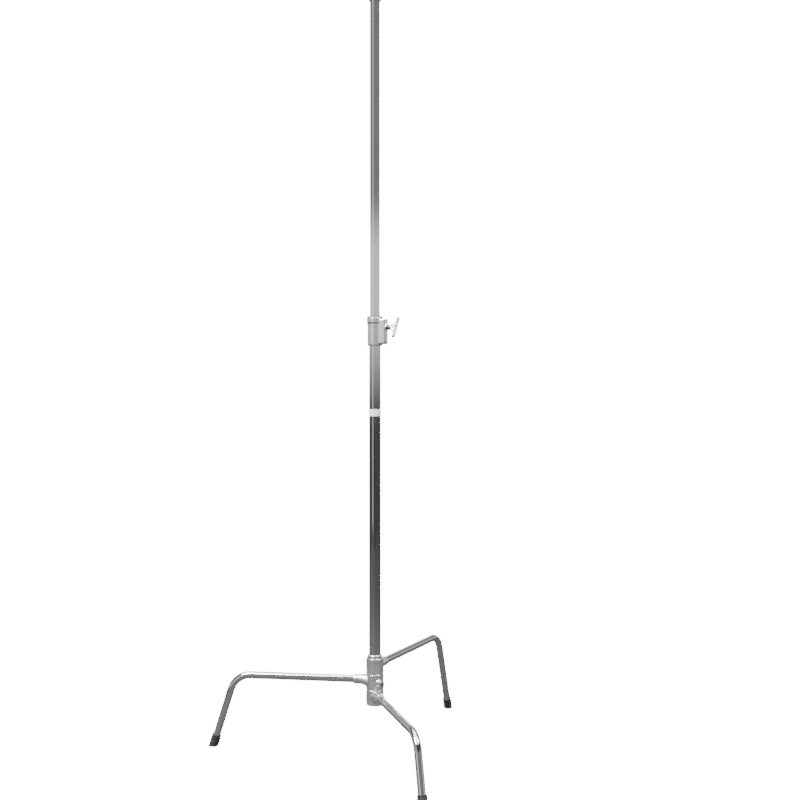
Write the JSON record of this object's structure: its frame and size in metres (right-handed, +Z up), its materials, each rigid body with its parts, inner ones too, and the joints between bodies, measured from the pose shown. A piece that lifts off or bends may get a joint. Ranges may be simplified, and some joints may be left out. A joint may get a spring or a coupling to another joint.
{
  "type": "telescopic grip stand",
  "caption": "Floor-standing grip stand: telescopic steel column with screw clamps on nesting bent legs, ending in a solid stud.",
  "frame": {"origin": "middle of the footprint's bounding box, on the floor", "axes": "+Z up along the column; +X to the side that the clamp handles point to; the stand's front, which is the side of the fixed leg, looks along -Y"},
  "size_m": [0.7736, 0.948, 2.3969],
  "materials": {
    "chrome_tube": "bright chrome plate on drawn steel tube",
    "chromed_casting": "chrome plate on a tumbled steel casting, softer than the tubes",
    "zinc_steel": "turned and zinc-plated steel",
    "brass": "turned brass",
    "black_rubber": "matt black moulded rubber",
    "black_nylon": "black moulded nylon",
    "white_vinyl": "plain white vinyl wrap",
    "spring_steel": "drawn spring wire"
  },
  "bodies": {
    "base": {"column_tube": "chrome_tube", "column_end_cap": "black_nylon", "marking_band": "white_vinyl", "lower_collar": "chromed_casting", "lower_bushing": "black_nylon", "leg_ring_bottom": "chromed_casting", "leg_tube_bottom": "chrome_tube", "leg_pin_bottom": "zinc_steel", "foot_bottom": "black_rubber", "hub_screw": "zinc_steel", "hub_washer": "zinc_steel", "hub_collar": "chromed_casting", "hub_set_screw": "zinc_steel"},
    "lower_brake": {"lower_brake_pad": "brass"},
    "lower_handle": {"lower_clamp_screw": "zinc_steel", "lower_t_handle": "chromed_casting"},
    "riser_1": {"riser_1_tube": "chrome_tube", "riser_1_guide": "black_nylon", "upper_collar": "chromed_casting", "upper_bushing": "black_nylon"},
    "upper_brake": {"upper_brake_pad": "brass"},
    "upper_handle": {"upper_clamp_screw": "zinc_steel", "upper_t_handle": "chromed_casting"},
    "riser_2": {"riser_2_tube": "chrome_tube", "riser_2_guide": "black_nylon", "top_stud": "zinc_steel", "stud_pin": "zinc_steel"},
    "leg_middle": {"leg_ring_middle": "chromed_casting", "leg_tube_middle": "chrome_tube", "leg_pin_middle": "zinc_steel", "foot_middle": "black_rubber", "lock_bushing": "brass"},
    "leg_top": {"leg_ring_top": "chromed_casting", "leg_tube_top": "chrome_tube", "leg_pin_top": "zinc_steel", "foot_top": "black_rubber"},
    "leg_lock": {"lock_pin": "zinc_steel", "lock_spring": "spring_steel", "lock_knob": "zinc_steel"}
  },
  "joints": [
    {"name": "riser_1_slide", "type": "slide", "parent": "base", "child": "riser_1", "axis": [0, 0, 1], "range_m": [-0.945, 0]},
    {"name": "riser_2_slide", "type": "slide", "parent": "riser_1", "child": "riser_2", "axis": [0, 0, 1], "range_m": [0, 0.89]},
    {"name": "lower_brake_travel", "type": "slide", "parent": "base", "child": "lower_brake", "axis": [0.866, -0.5, 0], "range_m": [0, 0.003]},
    {"name": "lower_handle_turn", "type": "hinge", "parent": "lower_brake", "child": "lower_handle", "pos_m": [0.12234, -0.01103, 1.2765], "axis": [0.866, -0.5, 0], "range_deg": [0, 720]},
    {"name": "upper_brake_travel", "type": "slide", "parent": "riser_1", "child": "upper_brake", "axis": [0.866, -0.5, 0], "range_m": [0, 0.003]},
    {"name": "upper_handle_turn", "type": "hinge", "parent": "upper_brake", "child": "upper_handle", "pos_m": [0.12234, -0.01103, 2.311], "axis": [0.866, -0.5, 0], "range_deg": [0, 720]},
    {"name": "leg_middle_swing", "type": "hinge", "parent": "base", "child": "leg_middle", "pos_m": [0.12234, -0.01103, 0], "axis": [0, 0, 1], "range_deg": [-20, 113.7]},
    {"name": "leg_top_swing", "type": "hinge", "parent": "base", "child": "leg_top", "pos_m": [0.12234, -0.01103, 0], "axis": [0, 0, 1], "range_deg": [-136.3, 20]},
    {"name": "leg_lock_pull", "type": "slide", "parent": "leg_middle", "child": "leg_lock", "axis": [0.4695, -0.8829, 0], "range_m": [0, 0.004], "stiffness_N_per_m": 400, "springref_m": -0.004}
  ],
  "couplings": [
    {"joint": "lower_brake_travel", "follows": "lower_handle_turn", "m_per_rad": 0.00023873},
    {"joint": "upper_brake_travel", "follows": "upper_handle_turn", "m_per_rad": 0.00023873}
  ]
}
